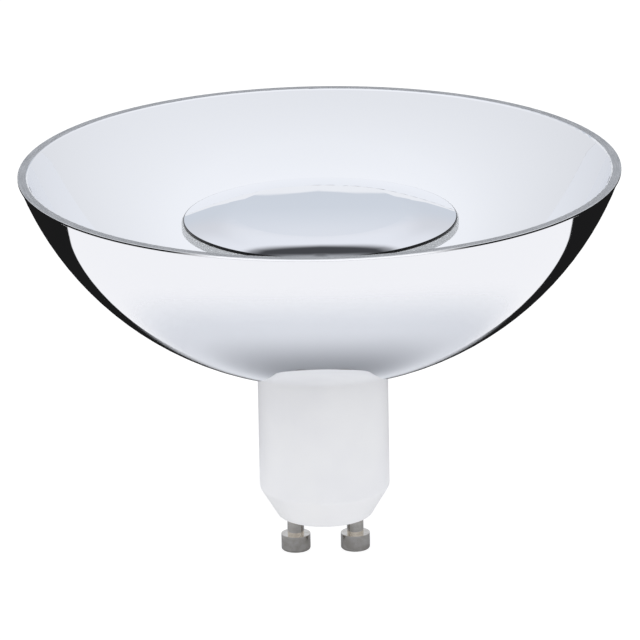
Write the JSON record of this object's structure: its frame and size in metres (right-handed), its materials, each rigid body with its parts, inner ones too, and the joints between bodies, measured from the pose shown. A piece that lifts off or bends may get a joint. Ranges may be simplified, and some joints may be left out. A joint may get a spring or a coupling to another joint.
{
  "type": "led spotlight bulb",
  "caption": "Open mirror-bowl spotlight lamp with a domed mirror cap over a clear light ring, on a white twist-lock base with headed contact pins.",
  "frame": {"origin": "centre of the base's end face, where it seats against a lampholder", "axes": "+Z along the lamp's axis towards the bowl's rim; the contact pins stand below the face, along X"},
  "size_m": [0.1, 0.1, 0.0666],
  "materials": {
    "bowl_metal": "polished",
    "cap_mirror": "polished",
    "clear_plastic": "gloss",
    "white_plastic": "matte",
    "housing_plastic": "satin",
    "pin_metal": "satin",
    "spreader_metal": "satin",
    "screw_steel": "satin",
    "pad_rubber": "matte",
    "led_board_white": "matte",
    "led_ceramic": "satin",
    "board_laminate": "satin",
    "capacitor_sleeve": "gloss",
    "film_box": "satin",
    "ferrite": "satin",
    "copper_wire": "gloss",
    "chip_resin": "matte",
    "resistor_coat": "satin",
    "chip_part_body": "satin",
    "lead_white": "satin",
    "lead_red": "satin",
    "lead_black": "satin",
    "solder": "gloss"
  },
  "bodies": {
    "root": {"reflector": "bowl_metal", "mirror_cap": "cap_mirror", "light_guide": "clear_plastic", "optic_holder": "white_plastic", "holder_screws": "screw_steel", "led_board": "led_board_white", "led_packages": "led_ceramic", "thermal_pad": "pad_rubber", "heat_spreader": "spreader_metal", "spreader_screws": "screw_steel", "housing": "housing_plastic", "driver_cover": "white_plastic", "contact_pin_left": "pin_metal", "contact_pin_right": "pin_metal", "live_lead": "lead_white", "neutral_lead": "lead_white", "driver_board": "board_laminate", "smoothing_capacitor": "capacitor_sleeve", "film_capacitor": "film_box", "inductor_core": "ferrite", "inductor_winding": "copper_wire", "bridge_rectifier": "chip_resin", "driver_chip": "chip_resin", "fusible_resistor": "resistor_coat", "chip_parts": "chip_part_body", "led_lead_positive": "lead_red", "led_lead_negative": "lead_black", "solder_joints": "solder"}
  },
  "joints": []
}
